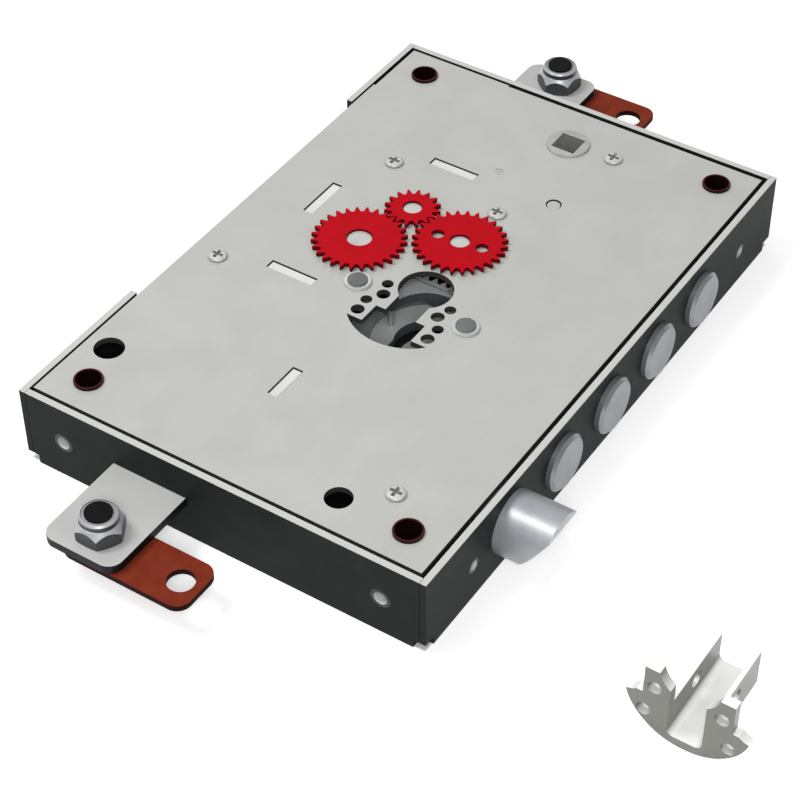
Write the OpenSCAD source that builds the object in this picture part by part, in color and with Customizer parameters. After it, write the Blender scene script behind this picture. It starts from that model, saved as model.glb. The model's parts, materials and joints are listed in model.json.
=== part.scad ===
// Armoured door lock lying on the back of its case, bolts towards +X.
// Millimetres. The origin is the centre of the case's outer base face.

/* [Case] */
// Width of the case from the back wall to the bolt wall
case_w = 138; // [137:0.5:142]
// Length of the case between the two end walls
case_l = 206; // [205:0.5:212]
// Height of the case over its rim
case_h = 27; // [27:0.5:30]
// Sheet thickness of the case
sheet_t = 2; // [1.6:0.1:2.2]
// Thickness of the cover
cover_t = 2; // [1.6:0.1:2.2]

/* [Bolts] */
// Diameter of the four dead bolts
bolt_d = 18; // [16:0.2:18.2]
// Spacing of the dead bolts
bolt_pitch = 28; // [26.5:0.5:28]
// How far the withdrawn dead bolts stand out of the wall
bolt_proud = 2.5; // [1.5:0.5:5]
// Diameter of the latch bolt
latch_d = 20; // [18:0.2:20]
// How far the latch bolt stands out of the wall
latch_out = 16.6; // [14.6:0.2:16.6]

/* [Gears] */
// Thickness of the three gears on the cover
gear_t = 1.5; // [1.2:0.1:2]

/* [Openings] */
// Radius of the round part of the cylinder opening
cyl_r = 8.5; // [8.2:0.1:8.8]
// Square of the handle follower
square_w = 8.1; // [7:0.1:8.6]
// Bore of the four corner bushes
bush_bore = 7.5; // [6.8:0.1:7.8]

/* [Rod connectors] */
// Diameter of the rod connector screws
stud_d = 8; // [7:0.2:8]
// Width of the two link plates
link_w = 17.8; // [15:0.2:20]

/* [Cylinder bracket] */
// Length of the loose cylinder bracket
bracket_len = 30; // [24:1:40]

/* [Hidden] */
$fn = 48;

// Clearances: a press or riveted joint, and a running joint
fit_c = 0.01;
run_c = 0.06;

half_w = case_w / 2;
half_l = case_l / 2;
cover_top = case_h;
cover_low = case_h - cover_t;
cover_gap = 1.4;
bolt_z = 13.3;
bolt_y0 = -31.5;
latch_y = 2.3 - half_l * 0.6;
cyl_x = 5;
cyl_y = -3;
follower_x = 5;
follower_y = half_l - 21;

screw_xy = [[-56.6, -24.4], [44.2, -half_l + 23.6], [-37, 43.8], [4.2, 39.2], [21, half_l - 20]];
bush_x = half_w - 14.4;
bush_y = half_l - 13.8;
bush_xy = [[-bush_x, -bush_y], [bush_x, -bush_y], [-bush_x, bush_y], [bush_x, bush_y]];
boss_xy = [[-14, -11.4], [24.2, -11.4]];
tab_hole = [[11.1, -7, 1.8], [9.6, -11.6, 2.1], [12.6, -16.3, 1.8], [12.3, -21.4, 2.1]];
front_insert_y = [-half_l + 24.3, half_l - 22.7];
end_insert_x = [-half_w + 14.5, half_w - 14.5];

rib_t = 3;
rib_a = [-19.3, 51.5];
rib_b = [-46, 16.7];
rib_c = [-33.3, -18.3];
rib_d = [-7, latch_y + 0.6];

// The two large gears and the small gear that joins them
gear_m = 1;
gear_n = 28;
idler_n = 16;
gear_1_xy = [-24.3, 4.9];
gear_2_xy = [2.5, 20.1];
gear_far = gear_m * (gear_n + idler_n) / 2;
gear_mid = (gear_1_xy + gear_2_xy) / 2;
gear_gap = norm(gear_2_xy - gear_1_xy) / 2;
gear_dir = (gear_2_xy - gear_1_xy) / (2 * gear_gap);
idler_xy = gear_mid + sqrt(gear_far * gear_far - gear_gap * gear_gap) * [-gear_dir[1], gear_dir[0]];
gear_z = cover_top + 0.3;
shaft_top = gear_z + gear_t * 0.5;
angle_1 = atan2(idler_xy[1] - gear_1_xy[1], idler_xy[0] - gear_1_xy[0]);
angle_2 = atan2(gear_2_xy[1] - idler_xy[1], gear_2_xy[0] - idler_xy[0]);
idler_step = 360 / idler_n;
idler_off = round((angle_2 - angle_1 - 180) / idler_step) * idler_step - (angle_2 - angle_1 - 180);
gear_2_turn = angle_2 + 180 - idler_off * idler_n / gear_n;

carriage_z = 8.9;
plate_t = 3;
rack_z = carriage_z + plate_t;
rack_t = 3.2;
rivet_x = [-32, -14, 4];
pinion_m = 1;
pinion_n = 12;
rack_y = gear_2_xy[1] - pinion_m * pinion_n / 2;
rod_m = 0.8;
rod_n = 10;
rod_pitch_r = rod_m * rod_n / 2;
rod_z = 16;
tab_z = 12.2;
rod_x_up = gear_1_xy[0] + rod_pitch_r;
rod_x_low = gear_1_xy[0] - rod_pitch_r;
rod_bar = 4.5;
tab_x0 = -36.2;
tab_x1 = -10.6;
tab_far = half_l + 28.4;
tab_near = -half_l - 32.5;
stud_x = -22.1;
stud_far = half_l + 20.8;
stud_near = -half_l - 22.9;
rod_step = half_l - 28;
link_x1 = 11.7;
link_x0 = -31;
link_t = 2;
link_z = tab_z - 0.2 - link_t;
nut_h = 6.4;
nut_collar = 1.6;
stud_top = 23.6;

draw_z = 19.4;
draw_t = 2;
draw_x0 = -53.2;
draw_x1 = -48;
draw_slot = 1.3;
tail_r = 2.5;
tail_pin_x = -10.3;
tail_pin_r = 1.5;
latch_in = 30;
arm_len = 14;

bracket_x = 142;
bracket_y = -94;
mouth_r = 2.2;

module at(p, z = 0) {
    translate([p[0], p[1], z]) children();
}

module tube(r_out, r_in, h) {
    difference() {
        cylinder(r = r_out, h = h);
        translate([0, 0, -1]) cylinder(r = r_in, h = h + 2);
    }
}

// A cylinder lying along X from x0 to x1
module rod_x(x0, x1, y, z, r) {
    translate([x0, y, z]) rotate([0, 90, 0]) cylinder(r = r, h = x1 - x0);
}

// A cylinder lying along Y from y0 to y1
module rod_y(y0, y1, x, z, r) {
    translate([x, y0, z]) rotate([-90, 0, 0]) cylinder(r = r, h = y1 - y0);
}

module block(x0, x1, y0, y1, z0, z1) {
    translate([x0, y0, z0]) cube([x1 - x0, y1 - y0, z1 - z0]);
}

// Gear outline: add and ded are the heights above and below the pitch circle
function tooth(r, add, ded, n, i, thick, tip) = let (a = 360 * i / n, w = thick / r * 90 / PI,
    ra = r - ded, rb = r + add, wb = tip / rb * 90 / PI, wa = 360 / n / 2 * 0.66)
    [[ra * cos(a - wa), ra * sin(a - wa)], [r * cos(a - w), r * sin(a - w)],
    [rb * cos(a - wb), rb * sin(a - wb)], [rb * cos(a + wb), rb * sin(a + wb)],
    [r * cos(a + w), r * sin(a + w)], [ra * cos(a + wa), ra * sin(a + wa)]];

module gear_outline(m, n, thick, tip, add, ded) {
    points = [for (i = [0 : n - 1], p = tooth(m * n / 2, add, ded, n, i, thick, tip)) p];
    polygon(points);
}

// Straight teeth that point along +Y, one pitch apart, gaps at x = 0
module rack_teeth(m, count_low, count_high, add, ded, thick, tip, base) {
    p = PI * m;
    for (i = [count_low : count_high])
        translate([(i + 0.5) * p, 0])
            polygon([[-base / 2, -ded - 0.05], [-base / 2, -ded], [-thick / 2, 0], [-tip / 2, add],
                [tip / 2, add], [thick / 2, 0], [base / 2, -ded], [base / 2, -ded - 0.05]]);
}

module cylinder_opening() {
    translate([cyl_x, cyl_y]) circle(r = cyl_r);
    translate([cyl_x - 5.3, -17.5]) square([10.6, 15]);
    translate([cyl_x - 8.6, -25]) square([17.2, 8]);
    intersection() {
        translate([cyl_x, -11.3]) circle(r = 19.4);
        translate([cyl_x - 20, -31]) square([40, 6.2]);
    }
}

// The folded tray: a base and four walls, open seams at the corners
module case_tray() {
    seam = 0.15;
    color([0.19, 0.2, 0.2])
    difference() {
        union() {
            block(-half_w, half_w, -half_l, half_l, 0, sheet_t);
            block(half_w - sheet_t, half_w, -half_l, half_l, 0, case_h);
            block(-half_w, -half_w + sheet_t, -half_l, -51, 0, case_h);
            block(-half_w, -half_w + sheet_t, 64, half_l, 0, case_h);
            block(-half_w, -half_w + sheet_t, -52, 65, 0, 6);
            for (s = [-1, 1])
                block(-half_w + sheet_t + seam, half_w - sheet_t - seam,
                    s > 0 ? half_l - sheet_t : -half_l, s > 0 ? half_l : -half_l + sheet_t, 0, case_h);
        }
        for (sx = [-1, 1], sy = [-1, 1])
            translate([sx * half_w, sy * half_l, 0]) cube([8, 8, 6], center = true);
        for (i = [0 : 3])
            rod_x(half_w - 5, half_w + 1, bolt_y0 + i * bolt_pitch, bolt_z, bolt_d / 2 + run_c);
        rod_x(half_w - 5, half_w + 1, latch_y, bolt_z, latch_d / 2 + run_c);
        for (y = front_insert_y)
            rod_x(half_w - 5, half_w + 1, y, 12.5, 2.5 + fit_c);
        for (x = end_insert_x) {
            rod_y(half_l - 5, half_l + 1, x, bolt_z, 3.25 + fit_c);
            rod_y(-half_l - 1, -half_l + 5, x, bolt_z, 3.25 + fit_c);
        }
        block(tab_x0 - 0.4, tab_x1 + 0.4, -half_l - 1, -half_l + 5, tab_z - 0.3, tab_z + plate_t + 0.3);
        block(tab_x0 - 0.4, tab_x1 + 0.4, half_l - 5, half_l + 1, tab_z - 0.3, tab_z + plate_t + 0.3);
        for (p = bush_xy)
            at(p, -1) cylinder(r = bush_bore / 2, h = sheet_t + 2);
        translate([0, 0, -1]) linear_extrude(sheet_t + 2) cylinder_opening();
        at([follower_x, follower_y], -1) cylinder(r = 5.6 + run_c, h = sheet_t + 2);
        at(gear_1_xy, -1) cylinder(r = 2 + run_c, h = sheet_t + 2);
        at(gear_2_xy, -1) cylinder(r = 3 + run_c, h = sheet_t + 2);
        rib_slots(-1, sheet_t + 2);
    }
}

// Slots for the tabs of the four ribs
module rib_slots(z, h, c = 0.02) {
    for (p = [rib_a, rib_c])
        translate([p[0] - 8 - c, p[1] - rib_t / 2 - c, z]) cube([16 + 2 * c, rib_t + 2 * c, h]);
    translate([rib_b[0] - rib_t / 2 - c, rib_b[1] - 8 - c, z]) cube([rib_t + 2 * c, 16 + 2 * c, h]);
    translate([rib_d[0] - rib_t / 2 - c, rib_d[1] - 6.15 - c, z]) cube([rib_t + 2 * c, 12.3 + 2 * c, h]);
}

module cover_outline() {
    x0 = -half_w + sheet_t + cover_gap;
    x1 = half_w - sheet_t - cover_gap;
    y0 = -half_l + sheet_t + cover_gap - 0.2;
    y1 = half_l - sheet_t - cover_gap + 0.2;
    step = 0.6;
    polygon([[x0 - step, y0], [x1, y0], [x1, y1 - step], [-28, y1 - step], [-28, y1], [x0, y1],
        [x0, 76], [x0 - step, 76]]);
}

module cover_plate() {
    color([0.57, 0.57, 0.53])
    translate([0, 0, cover_low])
    difference() {
        linear_extrude(cover_t) cover_outline();
        translate([0, 0, -1]) linear_extrude(cover_t + 2) {
            cylinder_opening();
            for (t = tab_hole, s = [-1, 1])
                translate([cyl_x + s * t[0], t[1]]) circle(r = t[2], $fn = 32);
            translate([-58.4, -75]) circle(r = 4.65);
            translate([31.8, -88.8]) circle(r = 4.1);
            for (p = screw_xy)
                translate(p) circle(r = 1.7, $fn = 24);
            for (p = bush_xy)
                translate(p) circle(r = 4.4 + fit_c);
            for (p = boss_xy)
                translate(p) circle(r = 3.4 + fit_c);
            translate([16.5, 53]) circle(r = 2.5, $fn = 32);
            translate([-6.5, 58]) circle(r = 1.5 + fit_c, $fn = 32);
            translate([follower_x, follower_y]) circle(r = 6.9 + run_c);
            translate(gear_1_xy) circle(r = 4 + run_c);
            translate(gear_2_xy) circle(r = 3.1 + run_c);
            translate(idler_xy) circle(r = 3 + fit_c);
        }
        rib_slots(-1, cover_t + 2, 0.3);
    }
}

// Five pan head screws with a cross recess
module cover_screws() {
    color([0.6, 0.6, 0.58])
    for (p = screw_xy)
        at(p, cover_top)
        difference() {
            union() {
                rotate_extrude($fn = 32)
                    polygon([[0, 0], [3, 0], [3, 0.5], [2.6, 1], [1.8, 1.3], [0, 1.3]]);
                translate([0, 0, -9]) cylinder(r = 1.5, h = 9.1, $fn = 32);
            }
            translate([-1.7, -0.3, 0.5]) cube([3.4, 0.6, 2]);
            translate([-0.3, -1.7, 0.5]) cube([0.6, 3.4, 2]);
        }
}

module screw_pillars() {
    color([0.62, 0.62, 0.6])
    for (p = screw_xy)
        at(p, sheet_t)
        difference() {
            cylinder(r = 3, h = cover_low - sheet_t, $fn = 6);
            translate([0, 0, 8]) cylinder(r = 1.5 + fit_c, h = 30, $fn = 32);
        }
}

module corner_bushes() {
    color([0.25, 0.13, 0.13])
    for (p = bush_xy)
        at(p, sheet_t) tube(4.4, bush_bore / 2, cover_top + 1 - sheet_t);
}

// A rib standing along X, with a window for a rod bar
module cross_rib(p, x0, x1) {
    c = 0.25;
    difference() {
        union() {
            block(p[0] - 10, p[0] + 10, p[1] - rib_t / 2, p[1] + rib_t / 2, sheet_t, cover_low);
            block(p[0] - 8, p[0] + 8, p[1] - rib_t / 2, p[1] + rib_t / 2, 0.2, cover_top - 0.4);
        }
        block(x0 - c, x1 + c, p[1] - 5, p[1] + 5, rod_z - 0.1, rod_z + plate_t + 0.1);
    }
}

module upper_rod_rib() {
    color([0.72, 0.72, 0.7]) cross_rib(rib_a, rod_x_up - 0.7, rod_x_up + 1 + rod_bar);
}

module lower_rod_rib() {
    color([0.72, 0.72, 0.7]) cross_rib(rib_c, rod_x_low - 1 - rod_bar, rod_x_low + 0.7);
}

module side_rib() {
    color([0.72, 0.72, 0.7]) {
        block(rib_b[0] - rib_t / 2, rib_b[0] + rib_t / 2, rib_b[1] - 10, rib_b[1] + 10, sheet_t, cover_low);
        block(rib_b[0] - rib_t / 2, rib_b[0] + rib_t / 2, rib_b[1] - 8, rib_b[1] + 8, 0.2, cover_top - 0.4);
    }
}

module latch_rib() {
    color([0.72, 0.72, 0.7])
    difference() {
        union() {
            block(rib_d[0] - rib_t / 2, rib_d[0] + rib_t / 2, rib_d[1] - 8.1, rib_d[1] + 8.1, sheet_t, cover_low);
            block(rib_d[0] - rib_t / 2, rib_d[0] + rib_t / 2, rib_d[1] - 6.15, rib_d[1] + 6.15, 0.2,
                cover_top - 0.4);
        }
        rod_x(rib_d[0] - 5, rib_d[0] + 5, latch_y, bolt_z, tail_r + run_c);
    }
}

// Open ring on the base, round the place of the cylinder's cam
module cylinder_guard_ring() {
    color([0.6, 0.6, 0.56])
    translate([cyl_x, cyl_y, sheet_t])
    difference() {
        cylinder(r = 17.5, h = 5.8 - sheet_t, $fn = 64);
        translate([0, 0, -1]) cylinder(r = 10, h = 9);
        translate([-9, -30, -1]) cube([18, 30, 9]);
    }
}

module guide_posts() {
    color([0.6, 0.6, 0.58])
    for (s = [-1, 1])
        translate([cyl_x + s * 13.3, cyl_y + 1, 5.8]) cylinder(r = 1, h = tab_z - 5.8, $fn = 32);
}

// Fixed plate that backs the drive rack, cut to an arc over the cam
module rack_guide_plate() {
    color([0.5, 0.5, 0.47])
    translate([0, 0, tab_z])
    linear_extrude(plate_t)
    difference() {
        translate([cyl_x - 14.4, cyl_y]) square([28.8, 14.1]);
        translate([cyl_x, cyl_y]) circle(r = 12.2);
    }
}

module defender_bushes() {
    color([0.7, 0.7, 0.68])
    for (p = boss_xy)
        at(p, cover_top - 2.8)
        difference() {
            union() {
                cylinder(r = 3.4, h = 2.9, $fn = 32);
                translate([0, 0, 2.8]) cylinder(r = 4.2, h = 1, $fn = 40);
            }
            translate([0, 0, -1]) cylinder(r = 2.4 + fit_c, h = 9, $fn = 32);
        }
}

module defender_plugs() {
    color([0.3, 0.3, 0.31])
    for (p = boss_xy)
        at(p, cover_top - 2.5) {
            cylinder(r = 2.4, h = 3.6, $fn = 32);
            translate([0, 0, 3.5]) cylinder(r = 3.1, h = 0.6, $fn = 32);
        }
}

module front_inserts() {
    color([0.75, 0.75, 0.73])
    for (y = front_insert_y)
        translate([half_w, y, 12.5])
        rotate([0, -90, 0])
        difference() {
            union() {
                cylinder(r = 2.5, h = sheet_t + 5, $fn = 32);
                translate([0, 0, sheet_t]) cylinder(r = 4, h = 5, $fn = 6);
            }
            translate([0, 0, -1]) cylinder(r = 1.6, h = 20, $fn = 24);
        }
}

module end_inserts() {
    color([0.75, 0.75, 0.73])
    for (x = end_insert_x, s = [-1, 1])
        translate([x, s * half_l, bolt_z])
        rotate([s * 90, 0, 0])
        difference() {
            union() {
                cylinder(r = 3.25, h = sheet_t + 5, $fn = 32);
                translate([0, 0, sheet_t]) cylinder(r = 5, h = 5, $fn = 6);
            }
            translate([0, 0, -1]) cylinder(r = 2.1, h = 20, $fn = 24);
        }
}

// Pin that guides the upper arm of the carriage in a slot
module carriage_guide_pin() {
    color([0.6, 0.6, 0.58])
    at([-6.5, 58], sheet_t) cylinder(r = 1.5, h = cover_top - 0.1 - sheet_t, $fn = 32);
}

// Pin whose side guides the lower edge of that arm
module edge_guide_pin() {
    color([0.72, 0.72, 0.7])
    at([16.5, 53], sheet_t) {
        cylinder(r = 1.75, h = cover_top - 0.3 - sheet_t, $fn = 32);
        translate([0, 0, cover_low - sheet_t]) cylinder(r = 2.15, h = cover_t - 0.3, $fn = 32);
    }
}

module draw_bar_pins() {
    color([0.6, 0.6, 0.58])
    for (y = [-8, 44])
        translate([(draw_x0 + draw_x1) / 2, y, sheet_t]) {
            cylinder(r = 2.4, h = draw_z - 0.1 - sheet_t, $fn = 32);
            cylinder(r = draw_slot - run_c, h = draw_z + draw_t + 0.5 - sheet_t, $fn = 32);
        }
}

module idler_pin() {
    color([0.66, 0.66, 0.65])
    at(idler_xy, cover_low) {
        cylinder(r = 3, h = shaft_top - cover_low);
        translate([0, 0, -1.5]) cylinder(r = 4.2, h = 1.5);
    }
}

// Main plate that carries the four dead bolts
module bolt_carriage() {
    notch = 3;
    color([0.45, 0.46, 0.45])
    difference() {
        translate([0, 0, carriage_z])
        linear_extrude(plate_t)
        difference() {
            union() {
                translate([19.5, -45]) square([11, 115]);
                translate([-40, 9.3]) square([62, 6]);
                translate([-42, 54.82]) square([64, 9.2]);
            }
            for (i = [-1 : 1])
                translate([cyl_x + i * 10 - 10, 9]) circle(r = notch, $fn = 32);
            translate([-6.5 - 30.2, 58 - 1.5 - run_c]) square([30.2, 3 + 2 * run_c]);
            translate([-6.5, 58]) circle(r = 1.5 + run_c, $fn = 32);
            translate([-36.7, 58]) circle(r = 1.5 + run_c, $fn = 32);
        }
        for (i = [0 : 3])
            at([27.5, bolt_y0 + i * bolt_pitch], 0) cylinder(r = 2 + fit_c, h = 30, $fn = 32);
        for (x = rivet_x)
            at([x, 12.1], 0) cylinder(r = 0.45 + fit_c, h = 30, $fn = 24);
    }
}

module drive_rack() {
    color([0.57, 0.57, 0.54])
    difference() {
        union() {
            block(-36, 8, 11.4, 12.9, rack_z, rack_z + rack_t);
            translate([gear_2_xy[0], rack_y, rack_z])
                linear_extrude(rack_t)
                rack_teeth(pinion_m, -12, 1, 0.9, 1.2, 1.3, 0.6, 2.2);
        }
        for (x = rivet_x)
            at([x, 12.1], 0) cylinder(r = 0.45 + fit_c, h = 30, $fn = 24);
    }
}

module rack_rivets() {
    color([0.62, 0.62, 0.6])
    for (x = rivet_x)
        at([x, 12.1], carriage_z) cylinder(r = 0.45, h = plate_t + rack_t, $fn = 24);
}

// Dead bolt with a chamfered face and a slot over the carriage
module dead_bolt(i) {
    r = bolt_d / 2;
    len = half_w + bolt_proud - 24;
    color([0.68, 0.68, 0.66])
    difference() {
        translate([24, bolt_y0 + i * bolt_pitch, bolt_z])
        rotate([0, 90, 0])
        rotate_extrude($fn = 64)
            polygon([[0, 0], [r - 0.8, 0], [r, 0.8], [r, len - 1], [r - 1, len], [0, len]]);
        block(20, 30.8, bolt_y0 + i * bolt_pitch - 12, bolt_y0 + i * bolt_pitch + 12,
            carriage_z - 0.05, carriage_z + plate_t + 0.05);
        at([27.5, bolt_y0 + i * bolt_pitch], 0) cylinder(r = 2 + fit_c, h = 30, $fn = 32);
    }
}

module bolt_1() { dead_bolt(0); }
module bolt_2() { dead_bolt(1); }
module bolt_3() { dead_bolt(2); }
module bolt_4() { dead_bolt(3); }

module bolt_pins() {
    color([0.5, 0.5, 0.5])
    for (i = [0 : 3])
        at([27.5, bolt_y0 + i * bolt_pitch], bolt_z - 7) cylinder(r = 2, h = 14, $fn = 32);
}

module red_gear(n, turn, hole) {
    difference() {
        linear_extrude(gear_t) rotate(turn) gear_outline(gear_m, n, 1.2, 0.34, 0.95, 1.2);
        translate([0, 0, -1]) cylinder(r = hole, h = gear_t + 2);
    }
}

module gear_1() {
    color([0.76, 0.04, 0.1])
    at(gear_1_xy, gear_z) red_gear(gear_n, angle_1, 4 + fit_c);
}

module gear_2() {
    color([0.76, 0.04, 0.1])
    at(gear_2_xy, gear_z)
    difference() {
        red_gear(gear_n, gear_2_turn, 3.1 + fit_c);
        for (s = [0, 180])
            rotate(5.7 + s) translate([7.5, 0, -1]) cylinder(r = 2, h = gear_t + 2, $fn = 32);
    }
}

module idler_gear() {
    color([0.76, 0.04, 0.1])
    at(idler_xy, gear_z) red_gear(idler_n, angle_1 + 180 + idler_step / 2, 3 + run_c);
}

module gear_1_shaft() {
    color([0.66, 0.66, 0.65])
    at(gear_1_xy, 0) {
        translate([0, 0, 0.2]) cylinder(r = 2, h = cover_low - 2, $fn = 32);
        translate([0, 0, cover_low - 3]) cylinder(r = 4, h = shaft_top - cover_low + 3);
        translate([0, 0, cover_low - 3]) cylinder(r = 5.2, h = 2.9);
        translate([0, 0, sheet_t + 0.05]) cylinder(r = 4, h = rod_z - 0.06 - sheet_t);
    }
}

module gear_1_pinion() {
    color([0.55, 0.55, 0.52])
    at(gear_1_xy, rod_z)
    difference() {
        linear_extrude(plate_t) gear_outline(rod_m, rod_n, 0.98, 0.4, 0.7, 1);
        translate([0, 0, -1]) cylinder(r = 2 + fit_c, h = 9, $fn = 32);
    }
}

module gear_2_shaft() {
    color([0.66, 0.66, 0.65])
    at(gear_2_xy, 0) {
        translate([0, 0, 0.2]) cylinder(r = 3, h = cover_low);
        translate([0, 0, cover_low - 3]) cylinder(r = 3.1, h = shaft_top - cover_low + 3);
        translate([0, 0, cover_low - 3]) cylinder(r = 5.2, h = 2.9);
        translate([0, 0, sheet_t + 0.05]) cylinder(r = 4.2, h = rack_z + 0.1 - 0.06 - sheet_t);
    }
}

module gear_2_pinion() {
    color([0.55, 0.55, 0.52])
    at(gear_2_xy, rack_z + 0.1)
    difference() {
        linear_extrude(3) rotate(-90) gear_outline(pinion_m, pinion_n, 1.25, 0.5, 0.85, 1.25);
        translate([0, 0, -1]) cylinder(r = 3 + fit_c, h = 9);
    }
}

// Tab plate outside the case, stepped up inside to a toothed bar
module rod_tab(y_in, y_out) {
    s = y_out > y_in ? 1 : -1;
    r = 4.5;
    linear_extrude(plate_t) {
        translate([tab_x0, min(y_in, y_out - s * r)]) square([tab_x1 - tab_x0, abs(y_out - y_in) - r]);
        translate([tab_x0 + r, min(y_in, y_out)]) square([tab_x1 - tab_x0 - 2 * r, abs(y_out - y_in)]);
        for (x = [tab_x0 + r, tab_x1 - r])
            translate([x, y_out - s * r]) circle(r = r);
    }
}

module upper_rod() {
    color([0.15, 0.16, 0.16]) {
        difference() {
            translate([0, 0, tab_z]) rod_tab(rod_step, tab_far);
            at([stud_x, stud_far], 0) cylinder(r = stud_d / 2 + run_c, h = 30);
        }
        block(rod_x_up + 1, rod_x_up + 1 + rod_bar, rod_step, rod_step + 4, tab_z, rod_z + plate_t);
        block(rod_x_up + 1, rod_x_up + 1 + rod_bar, -18, rod_step + 4, rod_z, rod_z + plate_t);
        translate([rod_x_up, gear_1_xy[1], rod_z])
            linear_extrude(plate_t)
            rotate(90) rack_teeth(rod_m, -9, 0, 0.65, 1, 0.98, 0.45, 1.7);
    }
}

module lower_rod() {
    color([0.15, 0.16, 0.16]) {
        difference() {
            translate([0, 0, tab_z]) rod_tab(-rod_step, tab_near);
            at([stud_x, stud_near], 0) cylinder(r = stud_d / 2 + run_c, h = 30);
        }
        block(rod_x_low - 1 - rod_bar, rod_x_low - 1, -rod_step - 4, -rod_step, tab_z, rod_z + plate_t);
        block(rod_x_low - 1 - rod_bar, rod_x_low - 1, -rod_step - 4, 28, rod_z, rod_z + plate_t);
        translate([rod_x_low, gear_1_xy[1], rod_z])
            linear_extrude(plate_t)
            rotate(-90) rack_teeth(rod_m, -9, 0, 0.65, 1, 0.98, 0.45, 1.7);
    }
}

// Stud with a low round head below, through the link plate and the tab plate
module rod_screw(y) {
    color([0.12, 0.12, 0.12])
    at([stud_x, y], 0) {
        translate([0, 0, link_z - 2]) cylinder(r = stud_d / 2, h = stud_top - link_z + 2);
        translate([0, 0, link_z - 2.2]) cylinder(r = 6.5, h = 2.2 - 0.05, $fn = 48);
    }
}

module far_rod_screw() { rod_screw(stud_far); }
module near_rod_screw() { rod_screw(stud_near); }

module rod_nut(y) {
    color([0.17, 0.19, 0.2])
    at([stud_x, y], tab_z + plate_t)
    difference() {
        union() {
            cylinder(r = 7.5, h = nut_h, $fn = 6);
            translate([0, 0, nut_h - 0.1]) cylinder(r = 5.6, h = nut_collar + 0.1);
        }
        translate([0, 0, -1]) cylinder(r = stud_d / 2 + fit_c, h = 20);
        translate([0, 0, nut_h]) cylinder(r = 5 + fit_c, h = 20);
    }
}

module far_rod_nut() { rod_nut(stud_far); }
module near_rod_nut() { rod_nut(stud_near); }

module nut_insert(y) {
    color([0.8, 0.8, 0.76])
    at([stud_x, y], tab_z + plate_t + nut_h) tube(5, stud_d / 2 + fit_c, nut_collar - 0.3);
}

module far_nut_insert() { nut_insert(stud_far); }
module near_nut_insert() { nut_insert(stud_near); }

module link_plate(y) {
    r = 4.5;
    difference() {
        translate([0, 0, link_z])
        linear_extrude(link_t) {
            translate([link_x0 + r, y - link_w / 2]) square([link_x1 - link_x0 - 2 * r, link_w]);
            translate([link_x0, y - link_w / 2 + r]) square([link_x1 - link_x0, link_w - 2 * r]);
            for (x = [link_x0 + r, link_x1 - r], s = [-1, 1])
                translate([x, y + s * (link_w / 2 - r)]) circle(r = r);
        }
        at([stud_x, y], 0) cylinder(r = stud_d / 2 + run_c, h = 30);
        at([5, y], 0) cylinder(r = 4.1, h = 30);
    }
}

module far_link() {
    color([0.48, 0.12, 0.08]) link_plate(stud_far);
}

module near_link() {
    color([0.54, 0.2, 0.14]) link_plate(stud_near);
}

// Round latch bolt, cut off aslant underneath
module latch_bolt() {
    tip = half_w + latch_out;
    edge = bolt_z + 6.6;
    lean = 0.7;
    r = latch_d / 2;
    color([0.68, 0.68, 0.66])
    difference() {
        translate([latch_in, latch_y, bolt_z])
        rotate([0, 90, 0])
        rotate_extrude($fn = 64)
            polygon([[0, 0], [r - 0.8, 0], [r, 0.8], [r, tip - latch_in], [0, tip - latch_in]]);
        translate([0, latch_y + 15, 0])
        rotate([90, 0, 0])
        linear_extrude(30)
            polygon([[tip + 1, edge + 1 / lean], [tip - (edge + 5) * lean, -5], [tip + 1, -5]]);
        rod_x(latch_in - 1, latch_in + 6.2, latch_y, bolt_z, tail_r + fit_c);
    }
}

module latch_tail() {
    color([0.6, 0.6, 0.58])
    difference() {
        rod_x(-12.9, latch_in + 6, latch_y, bolt_z, tail_r);
        at([tail_pin_x, latch_y], 0) cylinder(r = tail_pin_r + fit_c, h = 30, $fn = 32);
    }
}

module latch_tail_pin() {
    color([0.5, 0.5, 0.5])
    at([tail_pin_x, latch_y], 9.5) cylinder(r = tail_pin_r, h = draw_z + draw_t + 0.2 - 9.5, $fn = 32);
}

// Pressure spring on the latch tail: one round wire
coil_r = 3.9;
wire_r = 0.7;
coil_turns = 8;
coil_rings = 8;
coil_x0 = rib_d[0] + rib_t / 2 + wire_r + 0.05;
coil_x1 = latch_in - wire_r - 0.05;
coil_steps = coil_turns * coil_rings;
coil_pitch = (coil_x1 - coil_x0) / coil_turns;
echo(spring_self_gap_mm = coil_pitch - 2 * wire_r);

function coil_point(i, j) = let (a = 360 * i / coil_rings, b = 60 * j, q = coil_r + wire_r * cos(b))
    [coil_x0 + coil_pitch * i / coil_rings + wire_r * sin(b), latch_y + q * cos(a), bolt_z + q * sin(a)];

module latch_spring() {
    points = [for (i = [0 : coil_steps], j = [0 : 5]) coil_point(i, j)];
    sides = [for (i = [0 : coil_steps - 1], j = [0 : 5], k = [0, 1])
        let (a = 6 * i + j, b = 6 * i + (j + 1) % 6) k == 0 ? [a, b, a + 6] : [b, b + 6, a + 6]];
    first = [for (j = [1 : 4]) [0, j + 1, j]];
    last = [for (j = [1 : 4]) [6 * coil_steps, 6 * coil_steps + j, 6 * coil_steps + j + 1]];
    color([0.7, 0.7, 0.7])
    polyhedron(points, concat(sides, first, last));
}

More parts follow.
